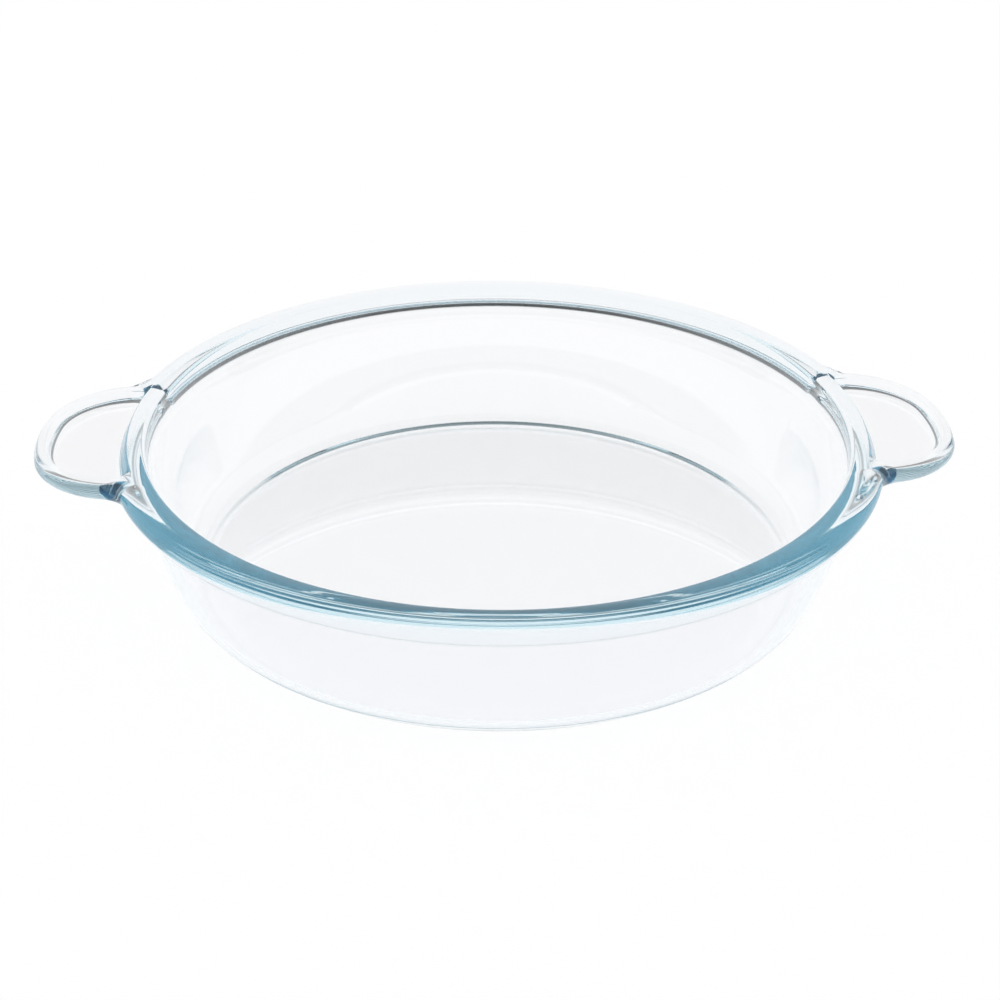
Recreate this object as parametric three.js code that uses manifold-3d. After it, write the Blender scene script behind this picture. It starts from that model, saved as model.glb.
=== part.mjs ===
// Round pressed-glass baking dish with two tab handles.
// Millimetres, +Z up. The origin is the middle of the base, and the handles lie along X.
import * as THREE from 'three';
import { mergeVertices } from 'three/addons/utils/BufferGeometryUtils.js';
import Module from 'manifold-3d';

// Bowl
const HEIGHT = 53.8; // base to the crest of the rim
const GLASS = 3.8; // thickness of wall and floor
const WALL_HEIGHT = 45.8; // base to the top of the wall
const WALL_FLARE = 20.6; // how far the wall leans out, from the edge of the foot to its top
const FOOT_WIDTH = 12; // width of the flat ring that the dish stands on
const BASE_LIFT = 0.8; // rise of the underside from the ring to the middle
const HEEL_RADIUS = 13; // outside curve from base to wall
const BELLY_RADIUS = 143; // outside curve of the wall

// Rolled rim
const RIM_RADIUS = 131; // outer edge
const RIM_OVERHANG = 8.4; // wall top to outer edge
const RIM_DEPTH = 8.4; // crest to underside
const RIM_ROLL = 4.8; // rounding of the outer top edge
const RIM_LOWER = 3.6; // rounding of the outer lower edge
const CREST_INSET = 5; // outer edge to crest
const CROWN_RADIUS = 20; // curve over the crest
const MOUTH_ROLL = 2.4; // rounding of the edge into the bowl
const UNDER_FILLET = 4.8; // hollow curve between wall and underside

// Handles
const HANDLE_LENGTH = 26; // rim to handle tip
const HANDLE_WIDTH = 79; // across the widest part
const HANDLE_DROP = 2; // rim crest to handle top
const HANDLE_DEPTH = 5.5; // top to underside
const HANDLE_EDGE = 3; // rounding of the top edge
const HANDLE_LOWER = 2.4; // rounding of the lower edge
const HANDLE_FILLET = 6; // hollow curve between wall and underside
const HANDLE_TIP_ARC = 75; // radius of the shallow arc at the tip
const HANDLE_CORNER = 31.5; // radius of the two rounded corners
const HANDLE_ROOT = 8.5; // radius of the hollow curves into the rim
const HANDLE_BLEND = 5; // reach over which the roll of the rim turns into the edge of a handle

// Thumb recess in the top of each handle, and the rib between it and the mouth
const RIB_INSET = 5.8; // outer edge of the rim to the top of the rib's flank
const RIB_RUN = 1.3; // how far the flank runs out
const RIB_FOOT = 0.5; // the same, where rib and rim are one
const RECESS_DEPTH = 3;
const RECESS_RUN = 2.4; // how far its sloping side runs in
const RECESS_LIP = 0.15; // how far inside its outline the recess starts
const RECESS_TIP_ARC = 80;
const RECESS_CORNER = 25;
const RECESS_ROOT = 6;
const BEAD_TIP = 3.6; // recess to handle edge at the tip
const BEAD_SIDE = 7; // recess to handle edge at each side

// Where the pressing is divided into its named regions
const BASE_MARGIN = 1; // above the floor
const RIM_MARGIN = 0.5; // below the curves under rim and handles
const HANDLE_MARGIN = 1; // outside the foot of the rib

// Facets along each arc
const TIP_STEPS = 3;
const CORNER_STEPS = 7;
const ROOT_STEPS = 5;
const RIM_STEPS = 13;
const RIB_STEPS = 24;
const LIFT_STEPS = 4;
const HEEL_STEPS = 5;
const BELLY_STEPS = 4;
const FILLET_STEPS = 3;
const EDGE_STEPS = 4;
const CROWN_STEPS = 2;
const MOUTH_STEPS = 4;

// Material
const CLEAR_GLASS = 0xe4f1f4;
const GLASS_ROUGHNESS = 0.04;

const { Vector2, Vector3 } = THREE;
const { lerp, smoothstep } = THREE.MathUtils;
const AXIS = new Vector2();
const QUARTER_TURN = Math.PI / 2;

// Point at a distance and angle from a centre.
function polar(centre, radius, angle) {
  return new Vector2(centre.x + radius * Math.cos(angle), centre.y + radius * Math.sin(angle));
}

// Where two circles cross, on the side given by +1 (left of the line between centres) or -1.
function crossing(centreA, radiusA, centreB, radiusB, side) {
  const line = centreB.clone().sub(centreA);
  const gap = line.length();
  const along = (radiusA ** 2 - radiusB ** 2 + gap ** 2) / (2 * gap);
  const across = Math.sqrt(Math.max(radiusA ** 2 - along ** 2, 0));
  const unit = line.divideScalar(gap);
  const left = new Vector2(-unit.y, unit.x);
  return centreA.clone().addScaledVector(unit, along).addScaledVector(left, side * across);
}

function arcPoints(arc, inset) {
  const points = [];
  for (let i = 0; i <= arc.steps; i += 1) {
    const angle = lerp(arc.from, arc.to, i / arc.steps);
    points.push(polar(arc.centre, arc.radius + arc.inward * inset, angle));
  }
  return points;
}

function chain(arcs, inset) {
  return arcs.flatMap((arc, i) => arcPoints(arc, inset).slice(i === 0 ? 0 : 1));
}

// Tangent arcs of one quarter of a circle with a handle: tip, corner, hollow root and plain circle.
function quarterArcs({ circle, reach, width, tipArc, corner, root }) {
  const spread = Math.asin((width / 2 - corner) / (tipArc - corner));
  const tipCentre = new Vector2(reach - tipArc, 0);
  const cornerCentre = polar(tipCentre, tipArc - corner, spread);
  const rootCentre = crossing(AXIS, circle + root, cornerCentre, corner + root, 1);
  const cornerEnd = rootCentre.clone().sub(cornerCentre).angle();
  const rootEnd = rootCentre.angle();
  return {
    tip: { centre: tipCentre, radius: tipArc, inward: -1, from: 0, to: spread, steps: TIP_STEPS },
    corner: {
      centre: cornerCentre, radius: corner, inward: -1, from: spread, to: cornerEnd, steps: CORNER_STEPS,
    },
    root: {
      centre: rootCentre, radius: root, inward: 1,
      from: cornerEnd + Math.PI, to: rootEnd + Math.PI, steps: ROOT_STEPS,
    },
    circle: {
      centre: AXIS, radius: circle, inward: -1, from: rootEnd, to: QUARTER_TURN, steps: RIM_STEPS,
    },
  };
}

// A quarter run from the X axis to the Y axis becomes a closed loop, by two mirrors.
function mirrorLoop(quarter) {
  const half = [...quarter, ...quarter.slice(0, -1).reverse().map((p) => new Vector2(-p.x, p.y))];
  return [...half, ...half.slice(1, -1).reverse().map((p) => new Vector2(p.x, -p.y))];
}

function solidGeometry(vertices, indices) {
  const geometry = new THREE.BufferGeometry();
  geometry.setAttribute('position', new THREE.Float32BufferAttribute(vertices.flatMap((v) => v.toArray()), 3));
  geometry.setIndex(indices);
  return mergeVertices(geometry);
}

// Indices of the strips between equal closed rings.
function stripIndices(ringCount, size) {
  const indices = [];
  for (let ring = 0; ring < ringCount - 1; ring += 1) {
    for (let i = 0; i < size; i += 1) {
      const next = (i + 1) % size;
      const low = ring * size;
      const high = low + size;
      indices.push(low + i, low + next, high + next, low + i, high + next, high + i);
    }
  }
  return indices;
}

// A solid skinned over closed rings, from a point under the first to a point over the last.
function skinBetweenPoints(start, rings, end) {
  const size = rings[0].length;
  const vertices = [...rings.flat(), start, end];
  const indices = stripIndices(rings.length, size);
  const startIndex = vertices.length - 2;
  const endIndex = vertices.length - 1;
  const last = (rings.length - 1) * size;
  for (let i = 0; i < size; i += 1) {
    const next = (i + 1) % size;
    indices.push(startIndex, next, i, endIndex, last + i, last + next);
  }
  return solidGeometry(vertices, indices);
}

// A solid skinned over closed rings, with a flat cap on the first and on the last.
function skinBetweenCaps(rings) {
  const size = rings[0].length;
  const last = (rings.length - 1) * size;
  const indices = stripIndices(rings.length, size);
  const flat = (ring) => ring.map((v) => new Vector2(v.x, v.y));
  for (const [a, b, c] of THREE.ShapeUtils.triangulateShape(flat(rings[0]), [])) {
    indices.push(a, c, b);
  }
  for (const [a, b, c] of THREE.ShapeUtils.triangulateShape(flat(rings.at(-1)), [])) {
    indices.push(last + a, last + b, last + c);
  }
  return solidGeometry(rings.flat(), indices);
}

// Plan outline of rim and handles, with the way inward at each of its points
const HANDLE_REACH = RIM_RADIUS + HANDLE_LENGTH;
const OUTLINE = quarterArcs({
  circle: RIM_RADIUS,
  reach: HANDLE_REACH,
  width: HANDLE_WIDTH,
  tipArc: HANDLE_TIP_ARC,
  corner: HANDLE_CORNER,
  root: HANDLE_ROOT,
});
const OUTLINE_ARCS = [OUTLINE.tip, OUTLINE.corner, OUTLINE.root, OUTLINE.circle];
const OUTLINE_LOOP = mirrorLoop(chain(OUTLINE_ARCS, 0));
const INWARD = mirrorLoop(chain(OUTLINE_ARCS, 1)).map((p, i) => p.sub(OUTLINE_LOOP[i]));

// How far the section at each point of the outline has turned from rim into handle, 0 to 1.
const HANDLE_SHARE = OUTLINE_LOOP.map((p) => smoothstep(p.length(), RIM_RADIUS, RIM_RADIUS + HANDLE_BLEND));
const rimToHandle = (rim, handle) => HANDLE_SHARE.map((share) => lerp(rim, handle, share));

// Ring about the axis, with its points at the outline's own angles.
function circleRing(radiusAt, heightAt) {
  return OUTLINE_LOOP.map((p, i) => new Vector3(p.x, p.y, 0).setLength(radiusAt(i)).setZ(heightAt(i)));
}

// Ring that follows the outline at an inset.
function outlineRing(insetAt, heightAt) {
  return OUTLINE_LOOP.map((p, i) => {
    const at = p.clone().addScaledVector(INWARD[i], insetAt(i));
    return new Vector3(at.x, at.y, heightAt(i));
  });
}

const sectionRings = (points) => points.map((p) => circleRing(() => p.x, () => p.y));

// Values from 0 to 1 in equal steps.
const shares = (steps) => Array.from({ length: steps + 1 }, (_, i) => i / steps);

// Heights and roundings round the outline
const HANDLE_TOP = HEIGHT - HANDLE_DROP;
const TOP = rimToHandle(HEIGHT, HANDLE_TOP);
const UNDERSIDE = rimToHandle(HEIGHT - RIM_DEPTH, HANDLE_TOP - HANDLE_DEPTH);
const FILLET = rimToHandle(UNDER_FILLET, HANDLE_FILLET);
const LOWER = rimToHandle(RIM_LOWER, HANDLE_LOWER);
const UPPER = rimToHandle(RIM_ROLL, HANDLE_EDGE);

// The crown of the rim is an arc over its crest, and the rounding at each side runs into it.
const CREST = RIM_RADIUS - CREST_INSET;
const CROWN_CENTRE = new Vector2(CREST, HEIGHT - CROWN_RADIUS);
const crownTurn = (radius, rounding) => Math.acos((radius - CREST) / (CROWN_RADIUS - rounding));
const crownHeight = (radius, rounding) => (
  CROWN_CENTRE.y + (CROWN_RADIUS - rounding) * Math.sin(crownTurn(radius, rounding)));
const ROLL_RADIUS = RIM_RADIUS - RIM_ROLL;
const UPPER_CENTRE = rimToHandle(crownHeight(ROLL_RADIUS, RIM_ROLL), HANDLE_TOP - HANDLE_EDGE);
const UPPER_TURN = rimToHandle(crownTurn(ROLL_RADIUS, RIM_ROLL), QUARTER_TURN);

// Wall section: the belly arc touches the heel arc from outside and ends at the wall's top.
const WALL_TOP = new Vector2(RIM_RADIUS - RIM_OVERHANG, WALL_HEIGHT);
const FOOT_RADIUS = WALL_TOP.x - WALL_FLARE;
const HEEL_CENTRE = new Vector2(FOOT_RADIUS, HEEL_RADIUS);
const BELLY_CENTRE = crossing(HEEL_CENTRE, BELLY_RADIUS - HEEL_RADIUS, WALL_TOP, BELLY_RADIUS, 1);
const LEAN_LOW = HEEL_CENTRE.clone().sub(BELLY_CENTRE).angle() - 2 * Math.PI;
const LEAN_TOP = WALL_TOP.clone().sub(BELLY_CENTRE).angle() - 2 * Math.PI;
const HEEL_ARC = {
  centre: HEEL_CENTRE, radius: HEEL_RADIUS, inward: -1, from: -QUARTER_TURN, to: LEAN_LOW, steps: HEEL_STEPS,
};
const INNER_BELLY_ARC = {
  centre: BELLY_CENTRE, radius: BELLY_RADIUS, inward: -1, from: LEAN_LOW, to: LEAN_TOP, steps: BELLY_STEPS,
};

// Where the belly arc gives way to the hollow curve under rim or handle.
const LEAN_FILLET = UNDERSIDE.map((z, i) => Math.asin((z - FILLET[i] - BELLY_CENTRE.y) / BELLY_RADIUS));
const bellyAt = (i, share) => polar(BELLY_CENTRE, BELLY_RADIUS, lerp(LEAN_LOW, LEAN_FILLET[i], share));

// Inside the bowl the wall runs on straight to the mouth and rolls over into the crown.
const INNER_TOP = polar(BELLY_CENTRE, BELLY_RADIUS - GLASS, LEAN_TOP);
const NECK_RISE = HEIGHT - MOUTH_ROLL - INNER_TOP.y;
const MOUTH_CENTRE_RADIUS = INNER_TOP.x - NECK_RISE * Math.tan(LEAN_TOP) + MOUTH_ROLL / Math.cos(LEAN_TOP);
const MOUTH_TURN = crownTurn(MOUTH_CENTRE_RADIUS, MOUTH_ROLL);
const MOUTH_ARC = {
  centre: new Vector2(MOUTH_CENTRE_RADIUS, crownHeight(MOUTH_CENTRE_RADIUS, MOUTH_ROLL)), radius: MOUTH_ROLL,
  inward: -1, from: MOUTH_TURN, to: Math.PI + LEAN_TOP, steps: MOUTH_STEPS,
};
const RIB_RADIUS = RIM_RADIUS - RIB_INSET;
const CROWN_ARC = {
  centre: CROWN_CENTRE, radius: CROWN_RADIUS,
  inward: -1, from: crownTurn(RIB_RADIUS, 0), to: MOUTH_TURN, steps: CROWN_STEPS,
};

// Underside of the base, raised a little inside the ring that it stands on.
function baseRings() {
  const ringInner = FOOT_RADIUS - FOOT_WIDTH;
  return shares(LIFT_STEPS).slice(1).map((share) => (
    circleRing(() => ringInner * share, () => BASE_LIFT * (1 - share ** 2) ** 2)));
}

function wallRings() {
  const belly = shares(BELLY_STEPS).slice(1).map((share) => (
    circleRing((i) => bellyAt(i, share).x, (i) => bellyAt(i, share).y)));
  const fillet = shares(FILLET_STEPS).slice(1).map((share) => {
    const turn = share * QUARTER_TURN;
    return circleRing(
      (i) => bellyAt(i, 1).x + FILLET[i] * (1 - Math.cos(turn)),
      (i) => UNDERSIDE[i] - FILLET[i] * (1 - Math.sin(turn)),
    );
  });
  return [...sectionRings(arcPoints(HEEL_ARC, 0)), ...belly, ...fillet];
}

function edgeRings() {
  const lower = shares(EDGE_STEPS).map((share) => {
    const turn = share * QUARTER_TURN;
    return outlineRing(
      (i) => LOWER[i] * (1 - Math.sin(turn)),
      (i) => UNDERSIDE[i] + LOWER[i] * (1 - Math.cos(turn)),
    );
  });
  const upper = shares(EDGE_STEPS).map((share) => outlineRing(
    (i) => UPPER[i] * (1 - Math.cos(share * UPPER_TURN[i])),
    (i) => UPPER_CENTRE[i] + UPPER[i] * Math.sin(share * UPPER_TURN[i]),
  ));
  return [...lower, ...upper];
}

function dishGeometry() {
  const ribFoot = rimToHandle(RIB_FOOT, RIB_RUN);
  const inside = [...arcPoints(HEEL_ARC, GLASS), ...arcPoints(INNER_BELLY_ARC, GLASS).slice(1)].reverse();
  const rings = [
    ...baseRings(),
    ...wallRings(),
    ...edgeRings(),
    circleRing((i) => RIB_RADIUS + ribFoot[i], (i) => TOP[i]),
    ...sectionRings(arcPoints(CROWN_ARC, 0)),
    ...sectionRings(arcPoints(MOUTH_ARC, 0).slice(1)),
    ...sectionRings(inside),
  ];
  return skinBetweenPoints(new Vector3(0, 0, BASE_LIFT), rings, new Vector3(0, 0, GLASS));
}

// Thumb recess: its outline is a handle shape round the foot of the rib, and its side slopes in on all edges.
const RECESS_INNER = RIB_RADIUS + RIB_RUN;
const RECESS = quarterArcs({
  circle: RECESS_INNER,
  reach: HANDLE_REACH - BEAD_TIP,
  width: HANDLE_WIDTH - 2 * BEAD_SIDE,
  tipArc: RECESS_TIP_ARC,
  corner: RECESS_CORNER,
  root: RECESS_ROOT,
});

function recessRing(inset, z) {
  const cusp = crossing(AXIS, RECESS_INNER + inset, RECESS.root.centre, RECESS.root.radius + inset, -1);
  const fromRoot = cusp.clone().sub(RECESS.root.centre);
  const root = { ...RECESS.root, to: fromRoot.angle() };
  const upper = chain([RECESS.tip, RECESS.corner, root], inset);
  const lower = upper.slice(1).reverse().map((p) => new Vector2(p.x, -p.y));
  const rib = {
    centre: AXIS, radius: RECESS_INNER + inset,
    inward: -1, from: cusp.angle(), to: -cusp.angle(), steps: RIB_STEPS,
  };
  const loop = [...lower, ...upper, ...arcPoints(rib, 0).slice(1, -1)];
  return loop.map((p) => new Vector3(p.x, p.y, z));
}

function recessGeometry() {
  return skinBetweenCaps([
    recessRing(RECESS_LIP + RECESS_RUN, HANDLE_TOP - RECESS_DEPTH),
    recessRing(RECESS_LIP, HANDLE_TOP),
    recessRing(RECESS_LIP, HANDLE_TOP + RECESS_DEPTH),
  ]);
}

const wasm = await Module();
wasm.setup();

function toManifold(geometry) {
  const vertProperties = new Float32Array(geometry.getAttribute('position').array);
  const triVerts = new Uint32Array(geometry.getIndex().array);
  return new wasm.Manifold(new wasm.Mesh({ numProp: 3, vertProperties, triVerts }));
}

function toGeometry(manifold) {
  const mesh = manifold.getMesh();
  const geometry = new THREE.BufferGeometry();
  geometry.setAttribute('position', new THREE.BufferAttribute(mesh.vertProperties, 3));
  geometry.setIndex(new THREE.BufferAttribute(mesh.triVerts, 1));
  geometry.computeVertexNormals();
  return geometry;
}

// The pressing is made whole and then divided by flat planes, so its regions meet face to face.
function regions() {
  const recess = recessGeometry();
  const rightRecess = toManifold(recess);
  const leftRecess = toManifold(recess.clone().rotateZ(Math.PI));
  const dish = toManifold(dishGeometry()).subtract(rightRecess).subtract(leftRecess);
  const handleCut = RECESS_INNER + RECESS_LIP + RECESS_RUN + HANDLE_MARGIN;
  const rimCut = Math.min(...UNDERSIDE.map((z, i) => z - FILLET[i])) - RIM_MARGIN;
  const [aboveBase, base] = dish.splitByPlane([0, 0, 1], GLASS + BASE_MARGIN);
  const [rimLayer, sideWall] = aboveBase.splitByPlane([0, 0, 1], rimCut);
  const [rightHandle, withoutRight] = rimLayer.splitByPlane([1, 0, 0], handleCut);
  const [leftHandle, rim] = withoutRight.splitByPlane([-1, 0, 0], handleCut);
  return { base, side_wall: sideWall, rim, left_handle: leftHandle, right_handle: rightHandle };
}

const dish = new THREE.Group();
for (const [name, region] of Object.entries(regions())) {
  const look = { color: CLEAR_GLASS, roughness: GLASS_ROUGHNESS, metalness: 0 };
  const material = new THREE.MeshStandardMaterial(look);
  const mesh = new THREE.Mesh(toGeometry(region), material);
  mesh.name = name;
  dish.add(mesh);
}

export default dish;
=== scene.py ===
"""Looks of the round glass baking dish: one continuous pressing of clear glass on a white floor."""
import math

import bpy
import numpy as np
from mathutils import Matrix, Vector

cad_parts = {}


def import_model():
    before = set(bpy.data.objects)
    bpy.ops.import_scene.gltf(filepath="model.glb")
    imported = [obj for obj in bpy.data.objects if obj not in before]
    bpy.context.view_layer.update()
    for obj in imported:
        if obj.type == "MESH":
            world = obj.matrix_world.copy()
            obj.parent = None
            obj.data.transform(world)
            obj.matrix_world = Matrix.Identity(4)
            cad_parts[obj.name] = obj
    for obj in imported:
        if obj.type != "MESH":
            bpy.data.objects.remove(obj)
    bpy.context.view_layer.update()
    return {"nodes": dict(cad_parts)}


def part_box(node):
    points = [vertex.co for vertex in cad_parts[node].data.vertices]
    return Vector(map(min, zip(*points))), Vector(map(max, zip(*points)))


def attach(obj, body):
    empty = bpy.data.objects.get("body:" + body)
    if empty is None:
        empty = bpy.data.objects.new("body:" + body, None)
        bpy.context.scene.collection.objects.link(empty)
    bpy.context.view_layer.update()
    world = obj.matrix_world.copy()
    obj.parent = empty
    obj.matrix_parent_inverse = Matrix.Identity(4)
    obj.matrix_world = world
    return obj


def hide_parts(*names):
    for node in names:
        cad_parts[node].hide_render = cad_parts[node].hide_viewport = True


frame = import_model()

MM = 0.001
TINY = 1e-9

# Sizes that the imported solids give, in metres
RIM_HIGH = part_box("rim")[1]
HANDLE_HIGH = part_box("right_handle")[1]
HEIGHT = RIM_HIGH.z
RIM_RADIUS = RIM_HIGH.y
HANDLE_REACH = HANDLE_HIGH.x

# Section of the bowl and its rolled rim
GLASS = 3.8 * MM
FOOT_RADIUS = 102 * MM
BASE_LIFT = 0.6 * MM
BEVEL_START = 99.0 * MM
BEVEL_END = 103.4 * MM
HEEL_RADIUS = 13 * MM
BELLY_RADIUS = 143 * MM
WALL_TOP_RADIUS = 122.6 * MM
WALL_TOP_Z = 45.8 * MM
RIM_DEPTH = 8.4 * MM
RIM_CROWN = 20 * MM
CROWN_RADIUS = 126 * MM
MOUTH_ROLL = 2.4 * MM
RIM_ROLL = 4.8 * MM
RIM_LOWER = 3.5 * MM
UNDER_FILLET = 4.8 * MM

# Plan of the handles and of the thumb recess in each
HANDLE_WIDTH = 79 * MM
HANDLE_DROP = 2 * MM
HANDLE_DEPTH = 5.5 * MM
HANDLE_EDGE = 3 * MM
HANDLE_LOWER = 2.4 * MM
HANDLE_TIP_ARC = 75 * MM
HANDLE_CORNER = 31.5 * MM
HANDLE_ROOT = 8.5 * MM
HANDLE_BLEND = 5 * MM
HANDLE_FILLET = 6 * MM
RECESS_DEPTH = 3 * MM
RECESS_RUN = 3 * MM
RECESS_LIP = 0.15 * MM
RECESS_GAP = 0.06 * MM
RIB_RADIUS = 125.2 * MM
BEAD_TIP = 3.6 * MM
BEAD_SIDE = 7 * MM
RECESS_TIP_ARC = 80 * MM
RECESS_CORNER = 25 * MM
RECESS_ROOT = 3 * MM

# Mesh steps along each arc of a quarter, and across each stretch of the section
TIP_STEPS = 10
CORNER_STEPS = 26
ROOT_STEPS = 20
CIRCLE_STEPS = 56
LIFT_STEPS = 10
BEVEL_STEPS = 5
HEEL_STEPS = 16
BELLY_STEPS = 16
FILLET_STEPS = 8
UNDERSIDE_STEPS = 5
EDGE_STEPS = 14
FACE_STEPS = 2
BEAD_STEPS = 5
CROWN_STEPS = 6
SLOPE_STEPS = 14
RECESS_FLOOR_STEPS = 4
MOUTH_STEPS = 18
NECK_STEPS = 3
FLOOR_STEPS = 8

# Floor, and the studio round the dish: greys at shares of the turn from the horizon to straight up
FLOOR_HALF = 4.0
FLOOR_Z = -0.3 * MM
FLOOR_LIT = 0.3
BACKDROP_STOPS = [(0.0, 1.0), (0.06, 1.0), (0.18, 0.45), (0.36, 0.3), (0.55, 0.2), (0.8, 0.05)]
SIDE_STOPS = [(0.0, 1.0), (0.08, 1.0), (0.2, 0.65), (0.36, 0.45), (0.55, 0.3), (0.8, 0.05)]
FRONT_STOPS = [(0.0, 0.5), (0.25, 0.15), (0.85, 0.05)]
MIRRORED = 0.95
NEW_STOP = 0.5

# Where the greys fade into each other, on the way back and, squared, on the way sideways
FRONT_END = 0.0
BACK_START = 0.5
CENTRE_END = 0.04
SIDE_START = 0.3

# Clear glass: tint at its surface, and what a metre of it takes up
GLASS_TINT = (1.0, 0.99, 1.0, 1.0)
GLASS_IOR = 1.5
CAST_COLOUR = (0.02, 0.64, 0.81, 1.0)
CAST_DENSITY = 5.8

# Camera, fitted to the photograph's 1000 x 1000 frame
CAMERA_PLACE = Vector((-34.0, -558.0, 330.0)) * MM
CAMERA_YAW = math.radians(3.57)
CAMERA_PITCH = math.radians(28.82)
CAMERA_ROLL = math.radians(-0.47)
SENSOR = 36.0
FOCAL_PIXELS = 1815.0
FRAME_PIXELS = 1000.0
GLASS_BOUNCES = 96


def smooth(share):
    """Ramp from 0 to 1 with level ends."""
    share = np.clip(share, 0.0, 1.0)
    return share * share * (3 - 2 * share)


def blend(first, last, share):
    return first + (last - first) * share


def direction(angle):
    return np.stack([np.cos(angle), np.sin(angle)], -1)


def crossing(centre_a, radius_a, centre_b, radius_b):
    """Where two circles cross, on the left of the line from a to b."""
    line = centre_b - centre_a
    gap = np.hypot(*line)
    along = (radius_a**2 - radius_b**2 + gap**2) / (2 * gap)
    across = math.sqrt(radius_a**2 - along**2)
    unit = line / gap
    return centre_a + unit * along + np.array([-unit[1], unit[0]]) * across


def handled_circle(circle, reach, width, tip_arc, corner, root):
    """Closed plan outline of a circle with a handle at each side: points and inward normals."""
    axis = np.zeros(2)
    spread = math.asin((width / 2 - corner) / (tip_arc - corner))
    tip_centre = np.array([reach - tip_arc, 0.0])
    corner_centre = tip_centre + (tip_arc - corner) * direction(spread)
    root_centre = crossing(axis, circle + root, corner_centre, corner + root)
    to_root = root_centre - corner_centre
    corner_end = math.atan2(to_root[1], to_root[0])
    root_end = math.atan2(root_centre[1], root_centre[0])
    arcs = [
        (tip_centre, tip_arc, -1, 0.0, spread, TIP_STEPS),
        (corner_centre, corner, -1, spread, corner_end, CORNER_STEPS),
        (root_centre, root, 1, corner_end + math.pi, root_end + math.pi, ROOT_STEPS),
        (axis, circle, -1, root_end, math.pi / 2, CIRCLE_STEPS),
    ]
    points = []
    normals = []
    for centre, radius, inward, start, end, steps in arcs:
        ways = direction(np.linspace(start, end, steps + 1)[:-1])
        points.append(centre + radius * ways)
        normals.append(inward * ways)
    top = direction(np.array([math.pi / 2]))
    quarter = np.concatenate(points + [circle * top])
    inwards = np.concatenate(normals + [-top])
    return mirror_loop(quarter), mirror_loop(inwards)


def mirror_loop(quarter):
    """A run from the X axis to the Y axis becomes a closed loop, by two mirrors."""
    half = np.concatenate([quarter, quarter[-2::-1] * [-1, 1]])
    return np.concatenate([half, half[-2:0:-1] * [1, -1]])


def raised(plan, height):
    """Plan points with a height, one for all or one each."""
    return np.column_stack([plan, np.broadcast_to(height, len(plan))])


def arc_section(centre, radius, start, end, steps):
    """Radius and height along an arc of the section."""
    return centre + radius * direction(np.linspace(start, end, steps + 1))


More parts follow.
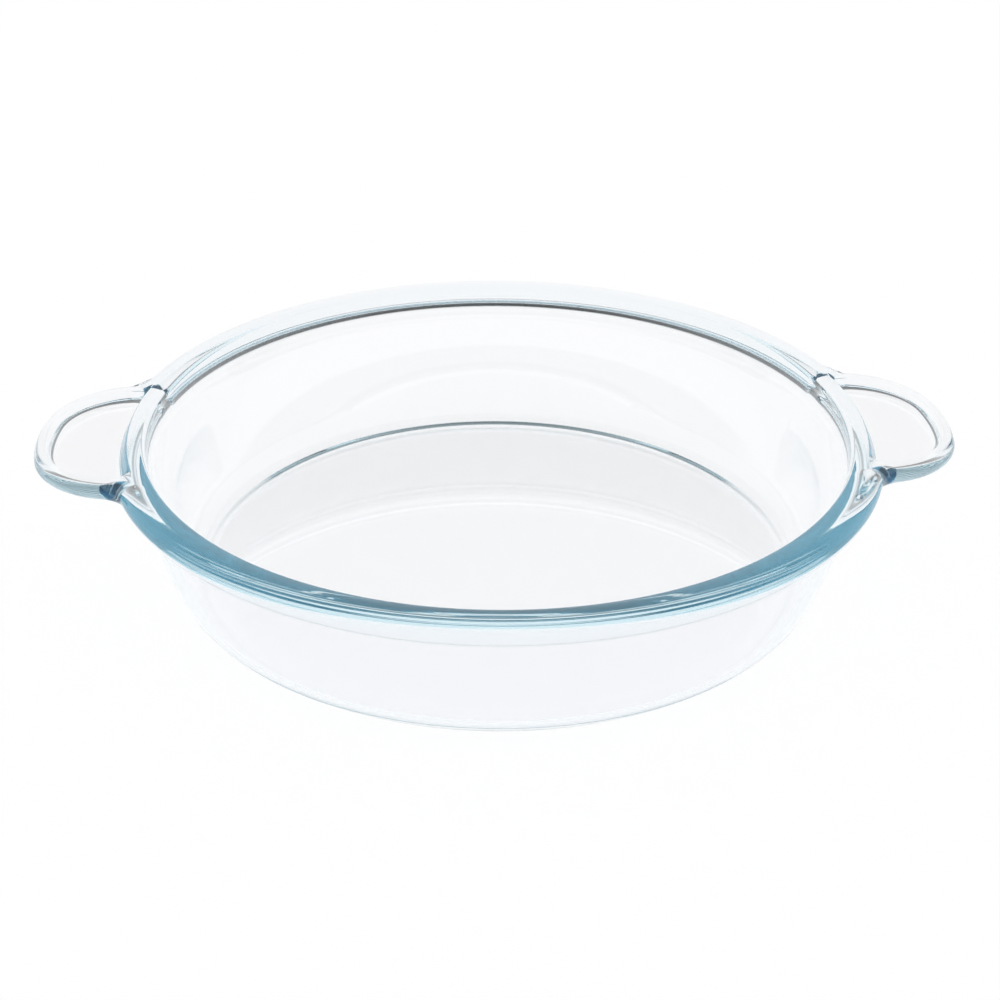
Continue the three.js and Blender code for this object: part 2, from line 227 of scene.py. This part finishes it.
class Dish:
    """Closed rings of the pressing, from the middle of the underside to the middle of the floor."""

    def __init__(self):
        self.outline, self.outline_in = handled_circle(
            RIM_RADIUS, HANDLE_REACH, HANDLE_WIDTH, HANDLE_TIP_ARC, HANDLE_CORNER, HANDLE_ROOT)
        self.recess, self.recess_in = handled_circle(
            RIB_RADIUS + 2 * RECESS_LIP, HANDLE_REACH - BEAD_TIP, HANDLE_WIDTH - 2 * BEAD_SIDE,
            RECESS_TIP_ARC, RECESS_CORNER, RECESS_ROOT)
        reach = np.hypot(*self.outline.T)
        self.outer_ways = self.outline / reach[:, None]
        width = np.hypot(*self.recess.T) - RIB_RADIUS
        self.room = np.minimum(1.0, (width - RECESS_GAP) / (2 * (RECESS_RUN + RECESS_LIP)))
        slope_foot = self.recess + (RECESS_RUN + RECESS_LIP) * self.room[:, None] * self.recess_in
        self.inner_ways = slope_foot / np.hypot(*slope_foot.T)[:, None]
        self.handle = smooth((reach - RIM_RADIUS) / HANDLE_BLEND)
        handle_top = HEIGHT - HANDLE_DROP
        self.low = blend(HEIGHT - RIM_DEPTH, handle_top - HANDLE_DEPTH, self.handle)
        self.lower = blend(RIM_LOWER, HANDLE_LOWER, self.handle)
        self.upper = blend(RIM_ROLL, HANDLE_EDGE, self.handle)
        roll_radius = RIM_RADIUS - RIM_ROLL
        self.upper_z = blend(self.under_crown(roll_radius, RIM_ROLL), handle_top - HANDLE_EDGE, self.handle)
        roll_turn = math.acos((roll_radius - CROWN_RADIUS) / (RIM_CROWN - RIM_ROLL))
        self.roll_top = roll_radius + RIM_ROLL * math.cos(roll_turn) - CROWN_RADIUS
        self.upper_turn = blend(roll_turn, math.pi / 2, self.handle)

        self.heel_centre = np.array([FOOT_RADIUS, HEEL_RADIUS])
        wall_top = np.array([WALL_TOP_RADIUS, WALL_TOP_Z])
        self.belly_centre = crossing(self.heel_centre, BELLY_RADIUS - HEEL_RADIUS, wall_top, BELLY_RADIUS)
        self.lean_low = math.atan2(*(self.heel_centre - self.belly_centre)[::-1])
        self.lean_top = math.atan2(*(wall_top - self.belly_centre)[::-1])
        self.inner_top = self.belly_centre + (BELLY_RADIUS - GLASS) * direction(self.lean_top)
        rise = HEIGHT - MOUTH_ROLL - self.inner_top[1]
        mouth_radius = self.inner_top[0] - rise * math.tan(self.lean_top)
        roll_radius = mouth_radius + MOUTH_ROLL / math.cos(self.lean_top)
        self.mouth_centre = np.array([roll_radius, self.under_crown(roll_radius, MOUTH_ROLL)])
        self.mouth_turn = math.acos((roll_radius - CROWN_RADIUS) / (RIM_CROWN - MOUTH_ROLL))

    def under_crown(self, radius, roll):
        """Height of the centre of a rounding that runs into the crown of the rim."""
        return HEIGHT - RIM_CROWN + math.sqrt((RIM_CROWN - roll) ** 2 - (radius - CROWN_RADIUS) ** 2)

    def crown_drop(self, plan):
        """How far the crown has fallen at each point of a ring."""
        out = np.minimum(np.hypot(*plan.T) - CROWN_RADIUS, self.roll_top)
        return RIM_CROWN - np.sqrt(RIM_CROWN**2 - out**2)

    def outer_ring(self, radius, z):
        return raised(np.broadcast_to(radius, len(self.outer_ways))[:, None] * self.outer_ways, z)

    def inner_ring(self, radius, z):
        return raised(np.broadcast_to(radius, len(self.inner_ways))[:, None] * self.inner_ways, z)

    def base(self):
        """Underside, a little above the floor, and the slope down to the edge that the dish stands on."""
        middle = [self.outer_ring(r, BASE_LIFT) for r in np.linspace(0, BEVEL_START, LIFT_STEPS + 1)[1:]]
        ends = np.array([[BEVEL_START, BASE_LIFT], [BEVEL_END, 0.0]])
        bevel = [self.outer_ring(r, z) for r, z in np.linspace(*ends, BEVEL_STEPS + 1)[1:]]
        return middle + bevel

    def outside(self):
        heel = arc_section(self.heel_centre, HEEL_RADIUS, -math.pi / 2, self.lean_low, HEEL_STEPS)
        rings = [self.outer_ring(r, z) for r, z in heel if r > BEVEL_END]
        fillet = blend(UNDER_FILLET, HANDLE_FILLET, self.handle)
        lean_fillet = np.arcsin((self.low - fillet - self.belly_centre[1]) / BELLY_RADIUS)
        for share in np.linspace(0, 1, BELLY_STEPS + 1)[1:]:
            lean = blend(self.lean_low, lean_fillet, share)
            rings.append(self.outer_ring(
                self.belly_centre[0] + BELLY_RADIUS * np.cos(lean),
                self.belly_centre[1] + BELLY_RADIUS * np.sin(lean)))
        wall = self.belly_centre[0] + BELLY_RADIUS * np.cos(lean_fillet)
        for turn in np.linspace(0, math.pi / 2, FILLET_STEPS + 1)[1:]:
            rings.append(self.outer_ring(
                wall + fillet * (1 - math.cos(turn)), self.low - fillet * (1 - math.sin(turn))))
        return rings

    def edge(self, start_ring):
        """Underside and rounded edge of the rim, which thins along the roots to the edge of each handle."""
        lower = []
        upper = []
        for share in np.linspace(0, 1, EDGE_STEPS + 1):
            turn = share * math.pi / 2
            inset = self.lower * (1 - math.sin(turn))
            z = self.low + self.lower * (1 - math.cos(turn))
            lower.append(raised(self.outline + inset[:, None] * self.outline_in, z))
            turn = share * self.upper_turn
            inset = self.upper * (1 - np.cos(turn))
            z = self.upper_z + self.upper * np.sin(turn)
            upper.append(raised(self.outline + inset[:, None] * self.outline_in, z))
        across = blend_rings(start_ring, lower[0], UNDERSIDE_STEPS)
        return across + lower + blend_rings(lower[-1], upper[0], FACE_STEPS) + upper

    def top(self, start_ring):
        """Bead, thumb recess and rib. Away from the handles the recess is a hair wide on a plain crown."""
        deepest = smooth((self.room * (RECESS_RUN + RECESS_LIP) - RECESS_LIP) / RECESS_RUN)
        bead_z = HEIGHT - HANDLE_DROP * self.handle
        floor_z = bead_z - RECESS_DEPTH * deepest
        bead = []
        for plan in blend_rings(start_ring[:, :2], self.recess, BEAD_STEPS):
            bead.append(raised(plan, bead_z - (1 - self.handle) * self.crown_drop(plan)))
        outer_slope = []
        inner_slope = []
        for share in np.linspace(0, 1, SLOPE_STEPS + 1):
            run = share * (RECESS_RUN + RECESS_LIP) * self.room
            fall = smooth((run - RECESS_LIP) / RECESS_RUN) / np.maximum(deepest, TINY)
            plan = self.recess + run[:, None] * self.recess_in
            edge_z = bead_z - (1 - self.handle) * self.crown_drop(plan)
            outer_slope.append(raised(plan, blend(edge_z, floor_z, fall)))
            plan = (RIB_RADIUS + run)[:, None] * self.inner_ways
            edge_z = HEIGHT - self.crown_drop(plan)
            inner_slope.append(raised(plan, blend(edge_z, floor_z, fall)))
        inner_slope.reverse()
        floor = blend_rings(outer_slope[-1], inner_slope[0], RECESS_FLOOR_STEPS)
        return bead + outer_slope + floor + inner_slope

    def inside(self):
        crown_centre = np.array([CROWN_RADIUS, HEIGHT - RIM_CROWN])
        rib_turn = math.acos((RIB_RADIUS - CROWN_RADIUS) / RIM_CROWN)
        crown = arc_section(crown_centre, RIM_CROWN, rib_turn, self.mouth_turn, CROWN_STEPS)[1:]
        mouth_end = math.pi + self.lean_top
        mouth = arc_section(self.mouth_centre, MOUTH_ROLL, self.mouth_turn, mouth_end, MOUTH_STEPS)
        inner_belly = BELLY_RADIUS - GLASS
        belly = arc_section(self.belly_centre, inner_belly, self.lean_top, self.lean_low, BELLY_STEPS)
        heel = arc_section(self.heel_centre, HEEL_RADIUS - GLASS, self.lean_low, -math.pi / 2, HEEL_STEPS)
        neck = np.linspace(mouth[-1], belly[0], NECK_STEPS + 1)[1:-1]
        floor = [(r, GLASS) for r in np.linspace(FOOT_RADIUS, 0, FLOOR_STEPS + 1)[1:-1]]
        section = np.concatenate([crown, mouth[1:], neck, belly, heel[1:], floor])
        return [self.inner_ring(r, z) for r, z in section]

    def rings(self):
        lower = self.base() + self.outside()
        edge = self.edge(lower[-1])
        top = self.top(edge[-1])
        return lower + edge + top + self.inside()


def blend_rings(first, last, steps):
    """Rings strictly between two rings."""
    return [first + (last - first) * share for share in np.linspace(0, 1, steps + 1)[1:-1]]


def skin(name, rings, start, end):
    """Closed smooth mesh over rings of equal size, with a point at each end."""
    size = len(rings[0])
    vertices = np.concatenate(rings + [[start], [end]])
    faces = []
    for ring in range(len(rings) - 1):
        low = ring * size
        high = low + size
        for i in range(size):
            following = (i + 1) % size
            faces.append((low + i, low + following, high + following, high + i))
    start_index = len(rings) * size
    end_index = start_index + 1
    last = start_index - size
    for i in range(size):
        following = (i + 1) % size
        faces.append((start_index, following, i))
        faces.append((end_index, last + i, last + following))
    mesh = bpy.data.meshes.new(name)
    mesh.from_pydata(vertices.tolist(), [], faces)
    mesh.shade_smooth()
    mesh.update()
    obj = bpy.data.objects.new(name, mesh)
    bpy.context.scene.collection.objects.link(obj)
    return obj


def new_material(name):
    material = bpy.data.materials.new(name)
    material.use_nodes = True
    nodes = material.node_tree.nodes
    nodes.clear()
    return material, nodes, material.node_tree.links


def glass_material():
    """Clear glass with a blue-green cast that shows where light runs a long way inside it."""
    material, nodes, links = new_material("clear_glass")
    output = nodes.new("ShaderNodeOutputMaterial")
    shader = nodes.new("ShaderNodeBsdfPrincipled")
    shader.inputs["Base Color"].default_value = GLASS_TINT
    shader.inputs["Roughness"].default_value = 0.0
    shader.inputs["IOR"].default_value = GLASS_IOR
    shader.inputs["Transmission Weight"].default_value = 1.0
    absorb = nodes.new("ShaderNodeVolumeAbsorption")
    absorb.inputs["Color"].default_value = CAST_COLOUR
    absorb.inputs["Density"].default_value = CAST_DENSITY
    links.new(shader.outputs["BSDF"], output.inputs["Surface"])
    links.new(absorb.outputs["Volume"], output.inputs["Volume"])
    return material


def dish():
    plan = Dish()
    glass = skin("glass_dish", plan.rings(), (0, 0, BASE_LIFT), (0, 0, GLASS))
    glass.data.materials.append(glass_material())
    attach(glass, "root")
    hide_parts(*frame["nodes"])


def joined(nodes, links, operation, first, second):
    """Math node over two sockets."""
    node = nodes.new("ShaderNodeMath")
    node.operation = operation
    links.new(first, node.inputs[0])
    links.new(second, node.inputs[1])
    return node.outputs[0]


def gradient(nodes, links, value, stops):
    """Grey ramp over a value from 0 to 1."""
    ramp = nodes.new("ShaderNodeValToRGB")
    ramp.color_ramp.interpolation = "EASE"
    elements = ramp.color_ramp.elements
    while len(elements) < len(stops):
        elements.new(NEW_STOP)
    for element, (place, grey) in zip(elements, stops):
        element.position = place
        element.color = (grey, grey, grey, 1)
    links.new(value, ramp.inputs[0])
    return ramp.outputs[0]


def crossfade(nodes, links, value, start, end, first, last):
    """Soft change from one colour to another while a value runs from start to end."""
    share = nodes.new("ShaderNodeMapRange")
    share.interpolation_type = "SMOOTHSTEP"
    share.inputs["From Min"].default_value = start
    share.inputs["From Max"].default_value = end
    links.new(value, share.inputs["Value"])
    mix = nodes.new("ShaderNodeMix")
    mix.data_type = "RGBA"
    links.new(share.outputs["Result"], mix.inputs["Factor"])
    links.new(first, mix.inputs["A"])
    links.new(last, mix.inputs["B"])
    return mix.outputs["Result"]


def floor():
    """White floor: lit as a matt surface, with the rest of its white given to the rays that look at it."""
    mesh = bpy.data.meshes.new("floor")
    corners = [(x * FLOOR_HALF, y * FLOOR_HALF, FLOOR_Z) for x, y in ((-1, -1), (1, -1), (1, 1), (-1, 1))]
    mesh.from_pydata(corners, [], [(0, 1, 2, 3)])
    obj = bpy.data.objects.new("floor", mesh)
    bpy.context.scene.collection.objects.link(obj)
    material, nodes, links = new_material("white_floor")
    output = nodes.new("ShaderNodeOutputMaterial")
    path = nodes.new("ShaderNodeLightPath")
    glossy = path.outputs["Is Glossy Ray"]
    through = path.outputs["Is Transmission Ray"]
    clear = joined(nodes, links, "MAXIMUM", glossy, through)
    looks = joined(nodes, links, "MAXIMUM", clear, path.outputs["Is Camera Ray"])
    matt = nodes.new("ShaderNodeBsdfDiffuse")
    matt.inputs["Color"].default_value = (FLOOR_LIT, FLOOR_LIT, FLOOR_LIT, 1)
    glow = nodes.new("ShaderNodeEmission")
    fill = nodes.new("ShaderNodeMath")
    fill.operation = "MULTIPLY"
    fill.inputs[1].default_value = 1.0 - FLOOR_LIT
    links.new(looks, fill.inputs[0])
    links.new(fill.outputs[0], glow.inputs["Strength"])
    both = nodes.new("ShaderNodeAddShader")
    links.new(matt.outputs[0], both.inputs[0])
    links.new(glow.outputs[0], both.inputs[1])
    links.new(both.outputs[0], output.inputs["Surface"])
    obj.data.materials.append(material)


def world():
    """White studio: soft white all round for matt surfaces, and for glass a backdrop and sides that are
    white at the floor and dim above, and a dim front."""
    scene = bpy.context.scene
    scene.world = bpy.data.worlds.new("studio")
    scene.world.use_nodes = True
    nodes = scene.world.node_tree.nodes
    links = scene.world.node_tree.links
    nodes.clear()
    output = nodes.new("ShaderNodeOutputWorld")
    place = nodes.new("ShaderNodeTexCoord")
    parts = nodes.new("ShaderNodeSeparateXYZ")
    links.new(place.outputs["Generated"], parts.inputs[0])
    rise = nodes.new("ShaderNodeMath")
    rise.operation = "ARCSINE"
    links.new(parts.outputs["Z"], rise.inputs[0])
    share = nodes.new("ShaderNodeMath")
    share.operation = "DIVIDE"
    share.inputs[1].default_value = math.pi / 2
    links.new(rise.outputs[0], share.inputs[0])
    behind = gradient(nodes, links, share.outputs[0], BACKDROP_STOPS)
    beside = gradient(nodes, links, share.outputs[0], SIDE_STOPS)
    ahead = gradient(nodes, links, share.outputs[0], FRONT_STOPS)
    sideways = joined(nodes, links, "MULTIPLY", parts.outputs["X"], parts.outputs["X"])
    far = crossfade(nodes, links, sideways, CENTRE_END, SIDE_START, behind, beside)
    studio = crossfade(nodes, links, parts.outputs["Y"], FRONT_END, BACK_START, ahead, far)
    path = nodes.new("ShaderNodeLightPath")
    glossy = path.outputs["Is Glossy Ray"]
    through = path.outputs["Is Transmission Ray"]
    mirrored = joined(nodes, links, "SUBTRACT", glossy, through)
    seen = nodes.new("ShaderNodeMix")
    seen.data_type = "RGBA"
    links.new(mirrored, seen.inputs["Factor"])
    links.new(studio, seen.inputs["A"])
    seen.inputs["B"].default_value = (MIRRORED, MIRRORED, MIRRORED, 1)
    glass_sees = nodes.new("ShaderNodeBackground")
    links.new(seen.outputs["Result"], glass_sees.inputs["Color"])
    plain = nodes.new("ShaderNodeBackground")
    plain.inputs["Color"].default_value = (1, 1, 1, 1)
    clear = joined(nodes, links, "MAXIMUM", glossy, through)
    direct = joined(nodes, links, "SUBTRACT", clear, path.outputs["Diffuse Depth"])
    mix = nodes.new("ShaderNodeMixShader")
    links.new(direct, mix.inputs[0])
    links.new(plain.outputs[0], mix.inputs[1])
    links.new(glass_sees.outputs[0], mix.inputs[2])
    links.new(mix.outputs[0], output.inputs["Surface"])


def camera():
    data = bpy.data.cameras.new("camera")
    data.sensor_width = SENSOR
    data.lens = FOCAL_PIXELS / FRAME_PIXELS * SENSOR
    obj = bpy.data.objects.new("camera", data)
    bpy.context.scene.collection.objects.link(obj)
    turn = (Matrix.Rotation(-CAMERA_YAW, 4, "Z") @ Matrix.Rotation(math.pi / 2 - CAMERA_PITCH, 4, "X")
            @ Matrix.Rotation(-CAMERA_ROLL, 4, "Z"))
    obj.matrix_world = Matrix.Translation(CAMERA_PLACE) @ turn
    bpy.context.scene.camera = obj


def light_paths():
    """Room for light to run along inside the glass before it comes out."""
    cycles = bpy.context.scene.cycles
    cycles.max_bounces = GLASS_BOUNCES
    cycles.glossy_bounces = GLASS_BOUNCES
    cycles.transmission_bounces = GLASS_BOUNCES
    cycles.blur_glossy = 0.0


bpy.context.scene.view_settings.view_transform = "Standard"
dish()
floor()
world()
camera()
light_paths()
bpy.context.view_layer.update()
